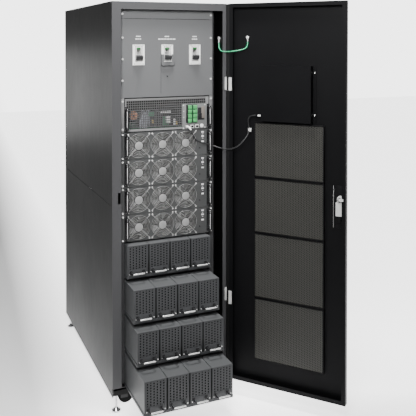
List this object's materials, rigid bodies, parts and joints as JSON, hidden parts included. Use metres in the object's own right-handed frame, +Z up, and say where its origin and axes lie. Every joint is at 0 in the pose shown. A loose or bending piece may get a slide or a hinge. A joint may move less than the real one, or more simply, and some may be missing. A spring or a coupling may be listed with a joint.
{
  "type": "rack cabinet uninterruptible power supply",
  "caption": "Modular uninterruptible power supply in a 19-inch rack cabinet with its door open, sliding power modules and battery rows drawn out in steps",
  "frame": {"origin": "on the floor, at the centre of the four levelling feet, which is the centre of the cabinet's footprint", "axes": "+X to the cabinet's right, seen from its front; +Y from front to back; +Z up"},
  "size_m": [1.0055, 1.6082, 1.98],
  "materials": {
    "cabinet_paint": "satin charcoal powder coat",
    "zinc": "zinc plate",
    "panel_paint": "satin dark grey paint",
    "breaker_plastic": "moulded light grey plastic",
    "black_plastic": "moulded black plastic",
    "comm_paint": "light grey paint",
    "module_case": "plated sheet case around aluminium heatsinks",
    "module_paint": "satin mid grey paint",
    "fan_plastic": "moulded black plastic",
    "pack_case": "light grey paint over sheet, full of cells",
    "pack_front": "satin charcoal paint",
    "caster_steel": "black paint",
    "caster_tread": "matt black rubber",
    "door_paint": "satin black powder coat",
    "vent_plastic": "dark filter mesh in a moulded frame",
    "display_paint": "satin black paint",
    "lock_zinc": "zinc plate",
    "handle_plastic": "semi-gloss black plastic",
    "foot_steel": "bright plate",
    "screw_steel": "bright zinc plate",
    "green_wire": "green insulation",
    "grey_cable": "light grey jacket"
  },
  "bodies": {
    "cabinet": {"cabinet_frame": "cabinet_paint", "roof_panel": "cabinet_paint", "side_panels": "cabinet_paint", "rear_panels": "cabinet_paint", "rack_rails": "zinc", "module_shelves": "zinc", "front_panels": "panel_paint", "circuit_breakers": "breaker_plastic", "frame_hinges": "zinc", "fasteners": "screw_steel", "ground_wire": "green_wire", "display_cable": "grey_cable", "bypass_chassis": "panel_paint", "comm_panel": "comm_paint"},
    "front_door": {"door_shell": "door_paint", "door_vents": "vent_plastic", "display_box": "display_paint", "door_hinge_leaves": "zinc", "door_fittings": "lock_zinc"},
    "door_latch_handle": {"door_handle": "handle_plastic"},
    "input_toggle": {"input_lever": "black_plastic"},
    "bypass_toggle": {"bypass_lever": "black_plastic"},
    "output_toggle": {"output_lever": "black_plastic"},
    "feet": {"levelling_feet": "foot_steel"},
    "caster_1_swivel": {"caster_1_fork": "caster_steel"},
    "caster_1_roller": {"caster_1_wheel": "caster_tread"},
    "caster_2_swivel": {"caster_2_fork": "caster_steel"},
    "caster_2_roller": {"caster_2_wheel": "caster_tread"},
    "caster_3_swivel": {"caster_3_fork": "caster_steel"},
    "caster_3_roller": {"caster_3_wheel": "caster_tread"},
    "caster_4_swivel": {"caster_4_fork": "caster_steel"},
    "caster_4_roller": {"caster_4_wheel": "caster_tread"},
    "power_module_1": {"power_module_1_chassis": "module_case", "power_module_1_front": "module_paint"},
    "module_1_fan_a": {"power_module_1_fan_a": "fan_plastic"},
    "module_1_fan_b": {"power_module_1_fan_b": "fan_plastic"},
    "module_1_fan_c": {"power_module_1_fan_c": "fan_plastic"},
    "power_module_2": {"power_module_2_chassis": "module_case", "power_module_2_front": "module_paint"},
    "module_2_fan_a": {"power_module_2_fan_a": "fan_plastic"},
    "module_2_fan_b": {"power_module_2_fan_b": "fan_plastic"},
    "module_2_fan_c": {"power_module_2_fan_c": "fan_plastic"},
    "power_module_3": {"power_module_3_chassis": "module_case", "power_module_3_front": "module_paint"},
    "module_3_fan_a": {"power_module_3_fan_a": "fan_plastic"},
    "module_3_fan_b": {"power_module_3_fan_b": "fan_plastic"},
    "module_3_fan_c": {"power_module_3_fan_c": "fan_plastic"},
    "power_module_4": {"power_module_4_chassis": "module_case", "power_module_4_front": "module_paint"},
    "module_4_fan_a": {"power_module_4_fan_a": "fan_plastic"},
    "module_4_fan_b": {"power_module_4_fan_b": "fan_plastic"},
    "module_4_fan_c": {"power_module_4_fan_c": "fan_plastic"},
    "battery_row_1": {"battery_cases_1": "pack_case", "battery_fronts_1": "pack_front"},
    "battery_row_2": {"battery_cases_2": "pack_case", "battery_fronts_2": "pack_front"},
    "battery_row_3": {"battery_cases_3": "pack_case", "battery_fronts_3": "pack_front"},
    "battery_row_4": {"battery_cases_4": "pack_case", "battery_fronts_4": "pack_front"}
  },
  "joints": [
    {"name": "door_swing", "type": "hinge", "parent": "cabinet", "child": "front_door", "pos_m": [0.306, -0.578, 1], "axis": [0, 0, 1], "range_deg": [-50, 20], "deforming": ["ground_wire", "display_cable"]},
    {"name": "door_handle_turn", "type": "hinge", "parent": "front_door", "child": "door_latch_handle", "pos_m": [0.67303, -1.01541, 1.049], "axis": [0.766, 0.6428, 0], "range_deg": [0, 90]},
    {"name": "input_toggle_throw", "type": "hinge", "parent": "cabinet", "child": "input_toggle", "pos_m": [-0.159, -0.498, 1.7271], "axis": [-1, 0, 0], "range_deg": [0, 50]},
    {"name": "bypass_toggle_throw", "type": "hinge", "parent": "cabinet", "child": "bypass_toggle", "pos_m": [-0.011, -0.498, 1.7271], "axis": [-1, 0, 0], "range_deg": [0, 50]},
    {"name": "output_toggle_throw", "type": "hinge", "parent": "cabinet", "child": "output_toggle", "pos_m": [0.137, -0.498, 1.7271], "axis": [-1, 0, 0], "range_deg": [0, 50]},
    {"name": "caster_1_swivel_turn", "type": "hinge", "parent": "cabinet", "child": "caster_1_swivel", "pos_m": [-0.233, -0.46, 0.1], "axis": [0, 0, 1], "continuous": true},
    {"name": "caster_1_roll", "type": "hinge", "parent": "caster_1_swivel", "child": "caster_1_roller", "pos_m": [-0.211, -0.46, 0.04], "axis": [0, 1, 0], "continuous": true},
    {"name": "caster_2_swivel_turn", "type": "hinge", "parent": "cabinet", "child": "caster_2_swivel", "pos_m": [0.233, -0.46, 0.1], "axis": [0, 0, 1], "continuous": true},
    {"name": "caster_2_roll", "type": "hinge", "parent": "caster_2_swivel", "child": "caster_2_roller", "pos_m": [0.211, -0.46, 0.04], "axis": [0, 1, 0], "continuous": true},
    {"name": "caster_3_swivel_turn", "type": "hinge", "parent": "cabinet", "child": "caster_3_swivel", "pos_m": [-0.233, 0.46, 0.1], "axis": [0, 0, 1], "continuous": true},
    {"name": "caster_3_roll", "type": "hinge", "parent": "caster_3_swivel", "child": "caster_3_roller", "pos_m": [-0.211, 0.46, 0.04], "axis": [0, 1, 0], "continuous": true},
    {"name": "caster_4_swivel_turn", "type": "hinge", "parent": "cabinet", "child": "caster_4_swivel", "pos_m": [0.233, 0.46, 0.1], "axis": [0, 0, 1], "continuous": true},
    {"name": "caster_4_roll", "type": "hinge", "parent": "caster_4_swivel", "child": "caster_4_roller", "pos_m": [0.211, 0.46, 0.04], "axis": [0, 1, 0], "continuous": true},
    {"name": "feet_lower", "type": "slide", "parent": "cabinet", "child": "feet", "axis": [0, 0, -1], "range_m": [0, 0.02]},
    {"name": "power_module_1_slide", "type": "slide", "parent": "cabinet", "child": "power_module_1", "axis": [0, -1, 0], "range_m": [0, 0.35]},
    {"name": "module_1_fan_a_spin", "type": "hinge", "parent": "power_module_1", "child": "module_1_fan_a", "pos_m": [-0.1578, -0.5, 1.27792], "axis": [0, 1, 0], "continuous": true},
    {"name": "module_1_fan_b_spin", "type": "hinge", "parent": "power_module_1", "child": "module_1_fan_b", "pos_m": [-0.035, -0.5, 1.27792], "axis": [0, 1, 0], "continuous": true},
    {"name": "module_1_fan_c_spin", "type": "hinge", "parent": "power_module_1", "child": "module_1_fan_c", "pos_m": [0.0878, -0.5, 1.27792], "axis": [0, 1, 0], "continuous": true},
    {"name": "power_module_2_slide", "type": "slide", "parent": "cabinet", "child": "power_module_2", "axis": [0, -1, 0], "range_m": [0, 0.35]},
    {"name": "module_2_fan_a_spin", "type": "hinge", "parent": "power_module_2", "child": "module_2_fan_a", "pos_m": [-0.1578, -0.5, 1.14457], "axis": [0, 1, 0], "continuous": true},
    {"name": "module_2_fan_b_spin", "type": "hinge", "parent": "power_module_2", "child": "module_2_fan_b", "pos_m": [-0.035, -0.5, 1.14457], "axis": [0, 1, 0], "continuous": true},
    {"name": "module_2_fan_c_spin", "type": "hinge", "parent": "power_module_2", "child": "module_2_fan_c", "pos_m": [0.0878, -0.5, 1.14457], "axis": [0, 1, 0], "continuous": true},
    {"name": "power_module_3_slide", "type": "slide", "parent": "cabinet", "child": "power_module_3", "axis": [0, -1, 0], "range_m": [0, 0.35]},
    {"name": "module_3_fan_a_spin", "type": "hinge", "parent": "power_module_3", "child": "module_3_fan_a", "pos_m": [-0.1578, -0.5, 1.01123], "axis": [0, 1, 0], "continuous": true},
    {"name": "module_3_fan_b_spin", "type": "hinge", "parent": "power_module_3", "child": "module_3_fan_b", "pos_m": [-0.035, -0.5, 1.01123], "axis": [0, 1, 0], "continuous": true},
    {"name": "module_3_fan_c_spin", "type": "hinge", "parent": "power_module_3", "child": "module_3_fan_c", "pos_m": [0.0878, -0.5, 1.01123], "axis": [0, 1, 0], "continuous": true},
    {"name": "power_module_4_slide", "type": "slide", "parent": "cabinet", "child": "power_module_4", "axis": [0, -1, 0], "range_m": [0, 0.35]},
    {"name": "module_4_fan_a_spin", "type": "hinge", "parent": "power_module_4", "child": "module_4_fan_a", "pos_m": [-0.1578, -0.5, 0.87787], "axis": [0, 1, 0], "continuous": true},
    {"name": "module_4_fan_b_spin", "type": "hinge", "parent": "power_module_4", "child": "module_4_fan_b", "pos_m": [-0.035, -0.5, 0.87787], "axis": [0, 1, 0], "continuous": true},
    {"name": "module_4_fan_c_spin", "type": "hinge", "parent": "power_module_4", "child": "module_4_fan_c", "pos_m": [0.0878, -0.5, 0.87787], "axis": [0, 1, 0], "continuous": true},
    {"name": "battery_row_1_slide", "type": "slide", "parent": "cabinet", "child": "battery_row_1", "axis": [0, -1, 0], "range_m": [-0.04, 0.41]},
    {"name": "battery_row_2_slide", "type": "slide", "parent": "cabinet", "child": "battery_row_2", "axis": [0, -1, 0], "range_m": [-0.145, 0.305]},
    {"name": "battery_row_3_slide", "type": "slide", "parent": "cabinet", "child": "battery_row_3", "axis": [0, -1, 0], "range_m": [-0.198, 0.252]},
    {"name": "battery_row_4_slide", "type": "slide", "parent": "cabinet", "child": "battery_row_4", "axis": [0, -1, 0], "range_m": [-0.3, 0.15]}
  ],
  "couplings": [
    {"joint": "module_1_fan_b_spin", "follows": "module_1_fan_a_spin", "ratio": 1},
    {"joint": "module_1_fan_c_spin", "follows": "module_1_fan_a_spin", "ratio": 1},
    {"joint": "module_2_fan_b_spin", "follows": "module_2_fan_a_spin", "ratio": 1},
    {"joint": "module_2_fan_c_spin", "follows": "module_2_fan_a_spin", "ratio": 1},
    {"joint": "module_3_fan_b_spin", "follows": "module_3_fan_a_spin", "ratio": 1},
    {"joint": "module_3_fan_c_spin", "follows": "module_3_fan_a_spin", "ratio": 1},
    {"joint": "module_4_fan_b_spin", "follows": "module_4_fan_a_spin", "ratio": 1},
    {"joint": "module_4_fan_c_spin", "follows": "module_4_fan_a_spin", "ratio": 1}
  ]
}
